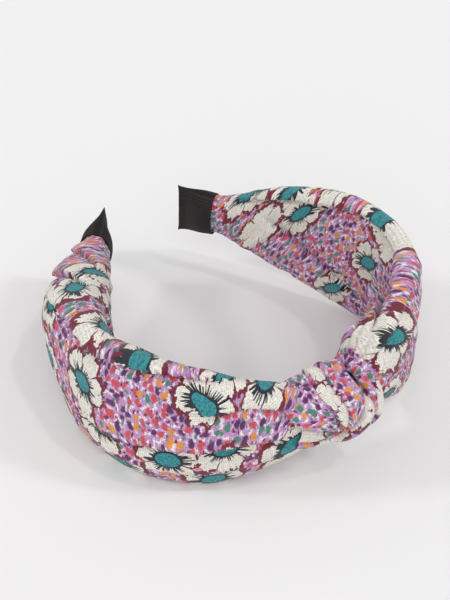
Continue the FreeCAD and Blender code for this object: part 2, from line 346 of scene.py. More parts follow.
# Folds by distance from the tip in mm and angle round the sleeve in degrees, then lip height,
# reach, tuck depth and hidden width in mm.  The side on the left of the line lies over the other.
sleeve_folds = {
    -1: [
        ([(24, 20), (30, 45), (36, 75), (43, 105), (50, 130)], 1.26, 7.0, 1.9, 3.0),
        ([(36, 0), (46, 30), (54, 62), (62, 95), (70, 120)], 1.96, 9.0, 3.04, 5.0),
        ([(58, 30), (68, 50), (78, 62), (90, 62), (104, 58), (118, 60), (134, 70), (152, 84), (172, 100)],
         2.8, 10.0, 3.04, 8.0),
        ([(96, -16), (110, -8), (122, -12), (138, -5), (156, -2), (172, 6), (194, 15)],
         2.8, 12.0, 3.61, 7.0),
        ([(150, 30), (166, 42), (178, 50), (196, 62)], 1.82, 8.0, 1.9, 5.0),
        ([(110, -45), (130, -38), (152, -34), (176, -28), (196, -20)], 1.4, 9.0, 1.52, 4.0),
        ([(64, 150), (90, 160), (120, 165), (150, 168), (185, 170)], 1.68, 10.0, 1.52, 5.0),
    ],
    1: [
        ([(170, 104), (150, 112), (132, 112), (115, 109), (90, 112), (65, 115), (45, 112), (26, 112)],
         3.08, 7.0, 3.42, 3.0),
        ([(44, 150), (55, 172), (66, 182), (78, 192), (92, 204), (106, 216)], 2.38, 9.0, 2.28, 3.0),
        ([(104, 222), (112, 190), (118, 165), (121, 145), (119, 124)], 3.22, 11.0, 3.42, 3.0),
        ([(138, 200), (158, 178), (176, 160), (197, 150)], 1.96, 8.0, 2.28, 5.0),
        ([(134, 160), (156, 140), (176, 124), (197, 116)], 2.1, 8.0, 2.47, 5.0),
        ([(132, 60), (156, 66), (176, 70), (197, 76)], 2.1, 8.0, 2.28, 5.0),
        ([(60, 40), (90, 30), (120, 26), (150, 24), (185, 24)], 1.68, 12.0, 1.71, 5.0),
    ],
}

# Flowers by distance from the tip in mm, angle in degrees and a number that turns its petals,
# minus for one whose middle is hidden or left out; some also have a size
sleeve_flowers = {
    -1: [
        (70, 50, 2), (69, 94, 7), (54, 127, 3), (108, 18, 4), (116, -14, 5), (156, 42, 6), (164, -4, 7),
        (144, -19, 1), (190, -5, 2, 1.25), (98, 114, 3), (129, 76, 4), (164, 105, 5), (180, 106, 3),
        (78, -10, 2), (92, -44, 6), (124, -55, 3), (160, -50, 4), (190, -50, -2), (92, 150, 5),
        (112, 150, 7), (140, 175, 1), (170, 160, 2), (64, 175, 4), (90, 200, 6), (124, 220, 3),
        (158, 225, 5), (190, 210, -4), (40, 200, 2), (66, 240, 7),
    ],
    1: [
        (66, 142, 1), (61, 90, 2), (36, 97, 3), (46, 172, -4), (108, 166, 5), (112, 92, 6), (87, 212, 7),
        (121, 124, -2), (128, 100, -4), (184, 58, 3, 1.6), (195, 118, -6), (178, -42, 1), (46, 60, 5),
        (58, 20, 1), (84, 50, 6), (90, 0, 2), (112, 40, 7), (128, -5, 3), (150, 12, 5), (78, -50, 4),
        (112, -50, 2), (48, -40, 3), (150, -50, 7), (180, -60, 1), (156, 215, 2), (184, 190, -3),
    ],
}


def wrinkles(places, rows, seed=0.0):
    """Soft mounds on the cloth; a row has their height and size in mm, stretch along the arm and seed."""
    total = np.zeros(len(places))
    for height, size, stretch, row_seed in rows:
        spots = places / np.array([size * stretch, size])
        total += height * np.array([noise.noise(Vector((u, v, row_seed + seed))) for u, v in spots])
    return total


def cloth_mesh(name, columns, rows, shape_of):
    """A grid moved to where shape_of puts it, with the cloth's own mm as its UV map and by corner."""
    shape = bmesh.new()
    bmesh.ops.create_grid(shape, x_segments=columns, y_segments=rows, size=0.5)
    mesh = bpy.data.meshes.new(name)
    shape.to_mesh(mesh)
    shape.free()
    unit = np.clip(mesh_places(mesh)[:, :2] + 0.5, 0, 1)
    corner_vertex = np.zeros(len(mesh.loops), dtype=int)
    mesh.loops.foreach_get("vertex_index", corner_vertex)
    places, corner_cloth = shape_of(unit, corner_vertex)
    mesh.vertices.foreach_set("co", in_frame(places).ravel())
    mesh.uv_layers.new(name="cloth").data.foreach_set("uv", corner_cloth.ravel())
    return mesh, corner_cloth


def face_middles(corner_cloth):
    """The middle of each face, on the cloth."""
    return corner_cloth.reshape(-1, 4, 2).mean(axis=1)


def print_flowers(mesh, corner_cloth, flowers):
    """Writes each corner's place from the nearest flower's middle, and that flower's number."""
    flowers = np.array([tuple(flower) + (1.0,) * (4 - len(flower)) for flower in flowers], dtype=float)
    gap = (face_middles(corner_cloth)[:, None, :] - flowers[None, :, :2]) / flowers[None, :, 3:]
    nearest = np.repeat(np.argmin((gap ** 2).sum(-1), axis=1), 4)
    offset = (corner_cloth - flowers[nearest, :2]) / flowers[nearest, 3:]
    own = np.concatenate([offset, flowers[nearest, 2:3]], axis=1)
    mesh.attributes.new("flower", "FLOAT_VECTOR", "CORNER").data.foreach_set("vector", own.ravel())


sleeve_cell = 0.75             # size of the mesh's cells
sleeve_start = 13.0            # under the ribbon
sleeve_flat_start = 3.0        # length from there on that has no folds
sleeve_fold_rise = 5.0         # length over which they then rise
sleeve_end_setback = 9.0       # under the knot's wrap
floor_gap = 0.3                # between the sleeve's lowest cloth and the floor
floor_softness = 1.0           # height over which cloth that would pass the floor is pressed flat
pleat_count = 13
pleat_sharpness = 0.7          # below 1 the pleats have narrow valleys
pleat_middle = 0.6             # taken off, so that the pleats rise and fall about the smooth cloth
ribbon_gather = (1.0, 9.0)     # height of the gathers at the ribbon, and how far they run
knot_gather = (1.6, 22.0)      # the same at the knot
knot_gather_start = 6.0        # from the sleeve's end
sleeve_wrinkles = ((0.9, 8.0, 4.5, 5.0), (0.25, 3.2, 2.5, 9.0))


def gathers(side, tip_distance, angle, end):
    """Height of the uneven pleats where the sleeve is gathered, at the ribbon and at the knot."""
    to_ribbon = np.exp(-np.clip(tip_distance - ribbon_length, 0, None) / ribbon_gather[1])
    to_knot = np.exp(-np.clip(end - knot_gather_start - tip_distance, 0, None) / knot_gather[1])
    wander = 1.3 * np.sin(2 * angle + side) + 0.8 * np.sin(3 * angle + 1.7) + 0.02 * tip_distance
    pleats = np.abs(np.sin(pleat_count * angle / 2 + wander)) ** pleat_sharpness - pleat_middle
    return (ribbon_gather[0] * to_ribbon + knot_gather[0] * to_knot) * pleats


def unit_rows(vectors):
    """Vectors with their length made 1."""
    return vectors / np.linalg.norm(vectors, axis=-1)[..., None]


def make_sleeve(side, name, material):
    """One arm's sleeve with its folds, gathers and print."""
    end = arm_length[side] - sleeve_end_setback
    rows = int((end - sleeve_start) / sleeve_cell)
    row_distance = np.linspace(sleeve_start, end, rows + 1)
    angle, arc = sleeve_grid(side, row_distance)
    columns = int(arc.max() / sleeve_cell)

    def place_on_cloth(points):
        """Places on the cloth of points given by distance from the tip and angle in degrees."""
        places = []
        for d, degrees in points:
            turned = math.radians(degrees)
            turned += 2 * math.pi if turned < seam_angle else 0.0
            row = min(np.searchsorted(row_distance, d), rows)
            places.append((d, np.interp(turned, angle, arc[row])))
        return np.array(places)

    folds = [Fold(place_on_cloth(line), *sizes) for line, *sizes in sleeve_folds[side]]

    def shape_of(unit, corner_vertex):
        at = np.rint(unit[:, 0] * rows).astype(int), np.rint(unit[:, 1] * columns).astype(int)
        run_grid = arc[:, -1:] * np.linspace(0, 1, columns + 1)
        angle_grid = np.array([np.interp(run, own_arc, angle) for run, own_arc in zip(run_grid, arc)])
        distance_grid = np.repeat(row_distance[:, None], columns + 1, axis=1)
        ground = sleeve_section(side, distance_grid, angle_grid)
        along = unit_rows(np.gradient(ground, axis=0))
        round_it = np.gradient(ground, axis=1)
        round_it[:, 0] = round_it[:, -1] = ground[:, 1] - ground[:, -2]
        round_it = unit_rows(round_it)
        normal = unit_rows(np.cross(along, round_it) * -side)
        cloth = np.stack([distance_grid, run_grid], axis=-1)[at]
        height = gathers(side, distance_grid[at], angle_grid[at], end)
        height += wrinkles(cloth, sleeve_wrinkles, side)
        slide = np.zeros((len(cloth), 2))
        for fold in folds:
            fold_height, lean = fold.heights(cloth)
            height += fold_height
            slide += lean
        height *= smooth_step((distance_grid[at] - sleeve_start - sleeve_flat_start) / sleeve_fold_rise)
        places = ground[at] + normal[at] * height[:, None]
        places += along[at] * slide[:, :1] + round_it[at] * slide[:, 1:]
        floor = -rest_depth + floor_gap
        over = places[:, 2] - floor - floor_softness
        pressed = floor + floor_softness * np.exp(np.minimum(over, 0) / floor_softness)
        places[:, 2] = np.where(over < 0, pressed, places[:, 2])
        corner_cloth = cloth[corner_vertex]
        middles = face_middles(corner_cloth)
        for fold in folds:
            hidden = fold.jump(cloth)[0][corner_vertex]
            over_line = np.repeat(fold.jump(middles)[1], 4)
            corner_cloth = corner_cloth + hidden * over_line[:, None]
        return places, corner_cloth

    mesh, corner_cloth = cloth_mesh(name + "_cover", rows, columns, shape_of)
    flower_middles = place_on_cloth([flower[:2] for flower in sleeve_flowers[side]])
    printed = flower_middles.copy()
    for fold in folds:
        hidden, over_line = fold.jump(flower_middles)
        printed += hidden * over_line[:, None]
    flowers = [tuple(middle) + flower[2:] for middle, flower in zip(printed, sleeve_flowers[side])]
    print_flowers(mesh, corner_cloth, flowers)
    weld_and_turn_out(mesh, 0.02)
    return new_piece(name + "_sleeve", mesh, material)


# Printed polyester crepe: a matt weave with a soft sheen, its ribs just large enough to see.  The
# ground is lilac with white brush marks and round dabs in purple, coral, orange and green.  On it
# lie cream daisies with patchy crimson edges and a teal middle ringed by dark strokes.
dab_spacing = 3.2
dab_size = 2.4
weave_pitch = 0.75             # drawn coarser than the real 0.4 mm, to show
wave_per_pitch = 2 * math.pi / 20      # scale of a wave texture whose pitch is 1
flower_radius = 11.6
petal_count = 5
petal_turn = 0.9               # radians of turn from one flower number to the next
middle_long = 4.5
middle_short = 2.9
# The print's colours, and a shadow colour for the painted shade in the weave's hollows
print_and_painted_shade_colours = {"lilac": "#C794C8", "white": "#F6ECF5", "purple": "#602464", "coral": "#D4505C",
                 "orange": "#EA9A3E", "green": "#4A8A70", "cream": "#F6F2E8", "grey cream": "#E2DDD2",
                 "crimson": "#781C30", "teal": "#309CA4", "deep teal": "#1F6E78", "navy": "#18262F",
                 "shadow": "#4A3A48"}
hue = {name: linear(value) for name, value in print_and_painted_shade_colours.items()}

crepe, tree, shader = new_material("printed polyester crepe", Roughness=0.82, IOR=1.45, Sheen_Weight=0.15,
                                   Sheen_Roughness=0.5)
cloth_uv = add(tree, "UVMap", {}, uv_map="cloth")
flower = add(tree, "Attribute", {}, output=1, attribute_name="flower")

# Brush strokes shake the ground's pattern by up to a millimetre
shaken = cloth_uv
for size, reach in ((3.2, 1.1), (0.8, 0.3)):
    blotch = add(tree, "TexNoise", {"Vector": cloth_uv, "Scale": 1 / size, "Detail": 1.0}, output=1,
                 noise_dimensions="2D")
    offset = add(tree, "VectorMath", (blotch, (0.5, 0.5, 0.5)), operation="SUBTRACT")
    shaken = add(tree, "VectorMath", (offset, (2 * reach, 2 * reach, 0.0), shaken), operation="MULTIPLY_ADD")
brush = add(tree, "TexNoise", {"Vector": cloth_uv, "Scale": 1 / 1.6, "Detail": 3.0}, noise_dimensions="2D")
brush = add(tree, "MapRange", (brush, 0.52, 0.62), interpolation_type="SMOOTHSTEP")
ground = add(tree, "Mix", {0: brush, 6: hue["lilac"], 7: hue["white"]}, output=2, data_type="RGBA")
for spacing, size, colours in ((dab_spacing * 0.7, dab_size * 0.45, ("purple", "white", "crimson", "green")),
                               (dab_spacing, dab_size, ("purple", "coral", "orange", "green", "purple",
                                                        "coral"))):
    scaled = add(tree, "VectorMath", (shaken, (1 / spacing, 0.85 / spacing, 0.0)), operation="MULTIPLY")
    dabs = add(tree, "TexVoronoi", {"Vector": scaled, "Scale": 1.0, "Randomness": 0.6}, output=None,
               voronoi_dimensions="2D")
    pick = add(tree, "SeparateColor", (dabs.outputs["Color"],))
    chosen = hue[colours[0]]
    for i, colour in enumerate(colours[1:]):
        other = add(tree, "Math", (pick, (i + 1.0) / len(colours)), operation="GREATER_THAN")
        chosen = add(tree, "Mix", {0: other, 6: chosen, 7: hue[colour]}, output=2, data_type="RGBA")
    reach = size / spacing / 2
    mask = add(tree, "MapRange", (dabs.outputs["Distance"], reach + 0.1, reach - 0.14),
               interpolation_type="SMOOTHSTEP")
    ground = add(tree, "Mix", {0: mask, 6: ground, 7: chosen}, output=2, data_type="RGBA")

# Petals: the outline is a rounded cosine round the flower, notched at the tips and ragged
apart = add(tree, "SeparateXYZ", (flower,), output=None)
along, across, number = apart.outputs
flat = add(tree, "CombineXYZ", (along, across))
far = add(tree, "VectorMath", (flat,), output=1, operation="LENGTH")
direction = add(tree, "Math", (across, along), operation="ARCTAN2")
turn = add(tree, "Math", (number, petal_turn, direction), operation="MULTIPLY_ADD")
half_turns = add(tree, "Math", (turn, petal_count / 2), operation="MULTIPLY")
swing = add(tree, "Math", (half_turns,), operation="COSINE")
petal = add(tree, "Math", (swing,), operation="ABSOLUTE")
rounded = add(tree, "Math", (petal, 0.55), operation="POWER")
outline = add(tree, "Math", (rounded, 0.36, 0.66), operation="MULTIPLY_ADD")
notch = add(tree, "Math", (petal, 14.0), operation="POWER")
outline = add(tree, "Math", (notch, -0.11, outline), operation="MULTIPLY_ADD")
wander = add(tree, "TexNoise", {"Vector": cloth_uv, "Scale": 1 / 2.4, "Detail": 2.0}, noise_dimensions="2D")
ragged = add(tree, "MapRange", (wander, 0.0, 1.0, -1.6, 1.6))
edge = add(tree, "Math", (outline, flower_radius, ragged), operation="MULTIPLY_ADD")
inside = add(tree, "Math", (edge, far), operation="SUBTRACT")
petals = add(tree, "MapRange", (inside, -0.15, 0.15), interpolation_type="SMOOTHSTEP")
mottle = add(tree, "TexNoise", {"Vector": cloth_uv, "Scale": 1 / 1.4, "Detail": 3.0}, noise_dimensions="2D")
mottle = add(tree, "MapRange", (mottle, 0.35, 0.8), interpolation_type="SMOOTHSTEP")
cream = add(tree, "Mix", {0: mottle, 6: hue["cream"], 7: hue["grey cream"]}, output=2, data_type="RGBA")
printed = add(tree, "Mix", {0: petals, 6: ground, 7: cream}, output=2, data_type="RGBA")

# Crimson edges: thick in places, missing in others, frayed, with a vein between two petals
patchy = add(tree, "TexNoise", {"Vector": cloth_uv, "Scale": 1 / 5.0, "Detail": 2.0}, noise_dimensions="2D")
patchy = add(tree, "MapRange", (patchy, 0.36, 0.46), interpolation_type="SMOOTHSTEP")
swell = add(tree, "TexNoise", {"Vector": cloth_uv, "Scale": 1 / 3.6, "Detail": 2.0}, noise_dimensions="2D")
swell = add(tree, "Math", (swell, 3.2, -0.6), operation="MULTIPLY_ADD")
rim_thick = add(tree, "Math", (swell, patchy), operation="MULTIPLY")
fray = add(tree, "TexNoise", {"Vector": cloth_uv, "Scale": 1 / 0.9, "Detail": 1.0}, noise_dimensions="2D")
fray = add(tree, "MapRange", (fray, 0.0, 1.0, -1.3, 1.3))
rim_offset = add(tree, "Math", (inside, 0.3), operation="ADD")
rim_offset = add(tree, "Math", (rim_offset,), operation="ABSOLUTE")
rim_reach = add(tree, "Math", (rim_offset, fray), operation="ADD")
rim_left = add(tree, "Math", (rim_thick, rim_reach), operation="SUBTRACT")
rim = add(tree, "MapRange", (rim_left, -0.1, 0.15), interpolation_type="SMOOTHSTEP")
vein = add(tree, "MapRange", (petal, 0.13, 0.03), interpolation_type="SMOOTHSTEP")
outer_share = add(tree, "Math", (far, edge), operation="DIVIDE")
outer = add(tree, "MapRange", (outer_share, 0.62, 0.72), interpolation_type="SMOOTHSTEP")
vein = add(tree, "Math", (vein, outer), operation="MULTIPLY")
vein = add(tree, "Math", (vein, petals), operation="MULTIPLY")
red = add(tree, "Math", (rim, vein), operation="MAXIMUM")
printed = add(tree, "Mix", {0: red, 6: printed, 7: hue["crimson"]}, output=2, data_type="RGBA")

# Middle: an oval with a dark ring and strokes of uneven length; a minus number leaves it out
squeezed = add(tree, "VectorMath", (flat, (1 / middle_long, 1 / middle_short, 0.0)), operation="MULTIPLY")
oval = add(tree, "VectorMath", (squeezed,), output=1, operation="LENGTH")
shown = add(tree, "Math", (number, 0.0), operation="GREATER_THAN")
way_along = add(tree, "Math", (turn,), operation="COSINE")
way_across = add(tree, "Math", (turn,), operation="SINE")
way = add(tree, "CombineXYZ", (way_along, way_across, number))
bristle = add(tree, "TexNoise", {"Vector": way, "Scale": 11.0, "Detail": 1.0})
length = add(tree, "TexNoise", {"Vector": way, "Scale": 2.6, "Detail": 1.0})
length = add(tree, "Math", (length, 2.1, -0.2), operation="MULTIPLY_ADD")
past = add(tree, "Math", (oval, 1.0), operation="SUBTRACT")
past = add(tree, "Math", (past, length), operation="DIVIDE")
bar = add(tree, "Math", (past, 0.2, 0.36), operation="MULTIPLY_ADD")
strokes = add(tree, "Math", (bristle, bar), operation="SUBTRACT")
strokes = add(tree, "MapRange", (strokes, -0.01, 0.02), interpolation_type="SMOOTHSTEP")
reached = add(tree, "Math", (past, 1.0), operation="LESS_THAN")
strokes = add(tree, "Math", (strokes, reached), operation="MULTIPLY")
ring = add(tree, "MapRange", (oval, 1.25, 1.15), interpolation_type="SMOOTHSTEP")
dark = add(tree, "Math", (strokes, ring), operation="MAXIMUM")
dark = add(tree, "Math", (dark, shown), operation="MULTIPLY")
printed = add(tree, "Mix", {0: dark, 6: printed, 7: hue["navy"]}, output=2, data_type="RGBA")
grain = add(tree, "TexNoise", {"Vector": cloth_uv, "Scale": 1 / 0.9, "Detail": 3.0}, noise_dimensions="2D")
grain = add(tree, "MapRange", (grain, 0.4, 0.7), interpolation_type="SMOOTHSTEP")
teal = add(tree, "Mix", {0: grain, 6: hue["teal"], 7: hue["deep teal"]}, output=2, data_type="RGBA")
middle = add(tree, "MapRange", (oval, 1.0, 0.94), interpolation_type="SMOOTHSTEP")
middle = add(tree, "Math", (middle, shown), operation="MULTIPLY")
printed = add(tree, "Mix", {0: middle, 6: printed, 7: teal}, output=2, data_type="RGBA")

# Weave: warp and weft ribs, uneven as crepe's twisted yarns are, with painted shade in the hollows
warp = add(tree, "TexWave", {"Vector": cloth_uv, "Scale": wave_per_pitch / weave_pitch, "Distortion": 3.0,
                             "Detail": 1.0, "Detail Scale": 2.0}, output=1, bands_direction="X")
weft = add(tree, "TexWave", {"Vector": cloth_uv, "Scale": wave_per_pitch / weave_pitch, "Distortion": 3.0,
                             "Detail": 1.0, "Detail Scale": 2.0}, output=1, bands_direction="Y")
slub = add(tree, "TexNoise", {"Vector": cloth_uv, "Scale": 1 / 0.6, "Detail": 2.0}, noise_dimensions="2D")
ribs = add(tree, "Math", (warp, weft), operation="ADD")
relief = add(tree, "Math", (slub, 2.4, ribs), operation="MULTIPLY_ADD")
painted_hollow_shade = add(tree, "MapRange", (relief, 2.4, 1.3, 0.0, 0.36), interpolation_type="SMOOTHSTEP")
shaded = add(tree, "Mix", {0: painted_hollow_shade, 6: printed, 7: hue["shadow"]}, output=2, data_type="RGBA")
tree.links.new(shaded, shader.inputs["Base Color"])
tree.links.new(add(tree, "Bump", {"Height": relief, "Strength": 0.7, "Distance": 0.2 * millimetre}),
               shader.inputs["Normal"])

for side, name in sides:
    sleeve = make_sleeve(side, name, crepe)
    bend_with_arm(sleeve)
    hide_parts(name + "_cover")


# Interlinings and seams: a soft foam-backed sheet on the strip keeps each sleeve wide, and a run of
# thread closes it along the bottom.  Both are sewn in.
foam, tree, shader = new_material("foam-backed interlining", Roughness=0.9)
place = add(tree, "TexCoord", {}, output=3)
fleece = add(tree, "TexNoise", {"Vector": place, "Scale": 1 / (0.8 * millimetre), "Detail": 3.0})
tone = add(tree, "Mix", {0: fleece, 6: linear("#DCDAD2"), 7: linear("#F2F0EA")}, output=2, data_type="RGBA")
tree.links.new(tone, shader.inputs["Base Color"])
tree.links.new(add(tree, "Bump", {"Height": fleece, "Strength": 0.5, "Distance": 0.1 * millimetre}),
               shader.inputs["Normal"])

# Spun polyester thread: twisted plies catch the light in slanting lines, painted into its colour as lighter
# and darker bands (painted highlight and shade)
thread, tree, shader = new_material("spun polyester thread", Roughness=0.6, Sheen_Weight=0.2)
place = add(tree, "TexCoord", {}, output=3)
ply = add(tree, "TexWave", {"Vector": place, "Scale": 1 / (1.2 * millimetre), "Distortion": 0.5},
          bands_direction="DIAGONAL")
tone = add(tree, "Mix", {0: ply, 6: linear("#9C7FB0"), 7: linear("#CDB2DC")}, output=2, data_type="RGBA")
tree.links.new(tone, shader.inputs["Base Color"])
tree.links.new(add(tree, "Bump", {"Height": ply, "Strength": 0.5, "Distance": 0.08 * millimetre}),
               shader.inputs["Normal"])

for side, name in sides:
    sewn = (("interlining", foam, "interlining"), ("seam_thread", thread, "sewing_thread"))
    for part, material, slot in sewn:
        node = name + "_" + part
        mesh = frame["nodes"][node].data.copy()
        mesh.materials.clear()
        weld_and_turn_out(mesh, 0.005)
        sewn_in = new_piece(node + "_sewn_in", mesh, material)
        bend_with_arm(sewn_in)
        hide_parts(node)
    gathered = frame["nodes"][name + "_gather_thread"]
    gathered.data.materials.clear()
    gathered.data.materials.append(thread)


# Ribbon caps: 22 mm black grosgrain folded round the end of each arm and glued flat at the very
# end, where its corners stand out as small points.  Its ribs run along the band.
cap_end_half_height = 13.2
cap_edge_half_height = 11.3
cap_end_half_thickness = 1.25
cap_edge_half_thickness = 7.5
cap_hem = 0.7                  # thickness of the folded edge
cap_hem_turn = 1.0             # length of the fold that turns the hem in
cap_inside = 5.0               # how far the hem is turned in
cap_corners = (0.6, 1.6)       # how far the end's corners stand out, and how far that runs
cap_corner_set_back = 0.4
cap_drawn_in = (0.5, 2.5)      # how far the end is drawn in between its corners, and how far that runs
cap_ripple = 0.16
cap_cells = (90, 150)          # of the mesh, along and round
rib_pitch = 1.15

grosgrain, tree, shader = new_material("black polyester grosgrain", Roughness=0.7, Specular_IOR_Level=0.3)
cloth_uv = add(tree, "UVMap", {}, uv_map="cloth")
# Colour painted lighter on the ribs and darker between them, as painted highlight and shade, and uneven at
# random along the fibres
ribs = add(tree, "TexWave", {"Vector": cloth_uv, "Scale": wave_per_pitch / rib_pitch, "Distortion": 0.0},
           bands_direction="Y")
fibres = add(tree, "TexNoise", {"Vector": cloth_uv, "Scale": 2.2, "Detail": 2.0}, noise_dimensions="2D")
painted_rib_light_and_fibres = add(tree, "Math", {0: ribs, 1: 0.6, 2: fibres}, operation="MULTIPLY_ADD")
shade = add(tree, "MapRange", {"Value": painted_rib_light_and_fibres, "From Min": 0.4, "From Max": 1.2})
tone = add(tree, "Mix", {0: shade, 6: linear("#0B0A0A"), 7: linear("#2B2826")}, output=2, data_type="RGBA")
tree.links.new(tone, shader.inputs["Base Color"])
height = add(tree, "Math", {0: fibres, 1: 0.3, 2: ribs}, operation="MULTIPLY_ADD")
tree.links.new(add(tree, "Bump", {"Height": height, "Strength": 0.9, "Distance": 0.22 * millimetre}),
               shader.inputs["Normal"])

# Glue: a clear hot-melt bead, a little cloudy
glue, tree, shader = new_material("hot-melt glue", Roughness=0.3, IOR=1.48)
place = add(tree, "TexCoord", {}, output=3)
cloud = add(tree, "TexNoise", {"Vector": place, "Scale": 1 / (1.5 * millimetre), "Detail": 2.0})
tone = add(tree, "Mix", {0: cloud, 6: linear("#D8D0B4"), 7: linear("#ECE7D6")}, output=2, data_type="RGBA")
tree.links.new(tone, shader.inputs["Base Color"])


def make_cap(side, name):
    """One ribbon cap: pinched flat at its end, open at the sleeve, with its hem turned in."""

    def shape_of(unit, corner_vertex):
        run = unit[:, 0] * (ribbon_length + cap_inside + cap_hem_turn)
        back = np.maximum(2 * ribbon_length + cap_hem_turn - run, 0)
        place = np.minimum(np.where(run <= ribbon_length, run, back), ribbon_length)
        inset = cap_hem * smooth_step((run - ribbon_length) / cap_hem_turn)
        share = place / ribbon_length
        angle = seam_angle + 2 * math.pi * unit[:, 1]
        height = cap_end_half_height + (cap_edge_half_height - cap_end_half_height) * share ** 0.8
        height += cap_corners[0] * np.exp(-place / cap_corners[1]) - cap_corner_set_back
        full = np.maximum(smooth_step((place - 1.5) / 13.0) ** 0.75, 0.85 * share)
        thick = cap_end_half_thickness + (cap_edge_half_thickness - cap_end_half_thickness) * full
        closed = smooth_step(place / 0.5) ** 0.5
        thick = np.where(run <= ribbon_length, thick * closed, thick)
        sizes = np.stack([height - inset, inset - height, thick - inset, 0 * height, 0 * height], axis=-1)
        corners = np.abs(np.sin(angle)) ** 6
        drawn_in = cap_drawn_in[0] * (1 - corners) * np.exp(-place / cap_drawn_in[1])
        wave = cap_ripple * np.sin(5 * angle + 0.5 * place) * (1 - share)
        places = standing_section(side, place + drawn_in, angle, sizes)
        way = band_point(side * (arm_length[side] - place), 1.0, 0.0)
        way = way - band_point(side * (arm_length[side] - place), 0.0, 0.0)
        places = places + way * (wave * signed_power(np.cos(angle), 0.5))[:, None]
        face = np.where(np.cos(angle) > 0, 0.0, cap_edge_half_height * 4)
        cloth = np.stack([run, signed_power(np.sin(angle), 0.9) * cap_edge_half_height + face], axis=-1)
        return places, cloth[corner_vertex]

    mesh, corner_cloth = cloth_mesh(name + "_cap", *cap_cells, shape_of)
    weld_and_turn_out(mesh, 0.01)
    return new_piece(name + "_cap", mesh, grosgrain)


for side, name in sides:
    cap = make_cap(side, name)
    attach(cap, name + "_arm")
    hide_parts(name + "_tip_ribbon")
    bead = frame["nodes"][name + "_tip_glue"]
    bead.data.materials.clear()
    bead.data.materials.append(glue)


# Knot: the sleeves' own cloth, folded lengthwise and tied over the strip at the crown.  A wide
# pleated wrap comes over the front, a narrow strap lies beside it, a roll of cloth comes out of
# the knot and back under it, and the left sleeve's tail passes beneath.
knot_cell = 0.4                # size of the mesh's cells
knot_curve_points = 200
strand_turn_in = 3.0           # cloth turned in along each edge of a strand
strand_thick = 1.3             # of the folded cloth
strand_hem = (1.6, 1.6)        # how far the rounded edge drops, and over what width
strand_turn = (1.2, 0.55)      # radius of the turned edge, and the slope of the cloth past it
strand_tuck_in = (0.8, 0.8)    # where past the edge the cloth starts to run inwards, and how steeply
pleat_hidden = 9.0             # cloth hidden in each pleat of the knot
pleat_lip_start = 0.2
pleat_lip_rise = 0.5
pleat_lip_reach = 4.0
pleat_tuck_reach = 1.3
strand_wrinkles = ((0.22, 4.5, 3.5, 0.0), (0.08, 1.6, 2.5, 3.0))
roll_wrinkles = ((0.3, 3.0, 3.0, 7.0), (0.12, 1.5, 2.0, 8.0))
roll_crease = ((0.5, 2.5), (0.7, 0.9))     # height and reach of its lip, depth and reach of its tuck


def vectors_at(rows, place):
    """A curve's vectors at places between its points."""
    count = np.arange(len(rows))
    return np.stack([np.interp(place, count, rows[:, k]) for k in range(3)], axis=-1)


def at_crown(places):
    """Moves places along the band, outwards and up to where the crown is."""
    return band_point(0.0 * places[:, 0], 0.0, 0.0) + places * np.array([1.0, -1.0, 1.0])


def tie_in(name, mesh, corner_cloth, flowers, fill):
    """Prints one piece of the knot and fixes it to the crown."""
    print_flowers(mesh, corner_cloth, flowers)
    weld_and_turn_out(mesh, 0.01)
    piece = new_piece(name + "_cloth", mesh, crepe)
    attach(piece, "crown")
    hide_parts(name)


def knot_strand(name, edges, crown, pleats, flowers):
    """Folded cloth between two edge curves (along the band, outwards, up), crowned, pleated, turned in at
    its edges and printed.
    """
    first, second = [curve_through(points, knot_curve_points) for points in edges]
    length = np.linalg.norm(np.diff((first + second) / 2, axis=0), axis=1).sum()
    width = np.linalg.norm(first - second, axis=1).max()
    rows, columns = int(length / knot_cell), int((width + 2 * strand_turn_in) / knot_cell)

    def shape_of(unit, corner_vertex):
        along = unit[:, 0] * (knot_curve_points - 1)
        out = unit[:, 1] * (1 + 2 * strand_turn_in / width) - strand_turn_in / width
        one, other = vectors_at(first, along), vectors_at(second, along)
        share = np.clip(out, 0, 1)
        past = np.maximum(-out, out - 1).clip(0) * width
        middle = (first + second) / 2
        normal = unit_rows(np.cross(np.gradient(middle, axis=0), second - first))
        outward = middle - np.array([middle[:, 0].mean(), 1.0, 1.0])
        normal *= np.sign((normal * outward).sum(1).mean())
        own_normal = vectors_at(normal, along)
        own_width = np.linalg.norm(other - one, axis=1)
        rim = np.clip(np.minimum(share, 1 - share) * own_width / strand_hem[1], 0, 1)
        height = crown * np.sin(math.pi * share) ** 0.7
        height += strand_hem[0] * (rim * (2 - rim) - 1)
        height -= strand_thick * (1 - np.exp(-past / strand_turn[0])) + past * strand_turn[1]
        for at, depth, lip, lean in pleats:
            line = at + lean * (unit[:, 0] - 0.5)
            aside = (share - line) * own_width
            rise = 1 - np.exp(-(aside + pleat_lip_start) / pleat_lip_rise)
            roll = lip * rise * np.exp(-aside / pleat_lip_reach)
            height += np.where(aside > 0, roll, -depth * np.exp(aside / pleat_tuck_reach))
        cloth = np.stack([unit[:, 0] * length, out * width], axis=-1)
        height += wrinkles(cloth, strand_wrinkles, len(name))
        spread = one + (other - one) * share[:, None]
        inwards = np.where(out < 0, 1, -1)[:, None] * (other - one) / np.maximum(own_width, 1)[:, None]
        turned_in = np.clip(past - strand_tuck_in[0], 0, None) * strand_tuck_in[1]
        places = spread + own_normal * height[:, None] + inwards * turned_in[:, None]
        corner_cloth = cloth[corner_vertex]
        face_along, face_out = np.repeat(face_middles(corner_cloth), 4, axis=0).T
        for at, depth, lip, lean in pleats:
            over = face_out / width > at + lean * (face_along / length - 0.5)
            corner_cloth[:, 1] += pleat_hidden * over
        return at_crown(places), corner_cloth

    tie_in(name, *cloth_mesh(name, rows, columns, shape_of), flowers, fill=0.5)
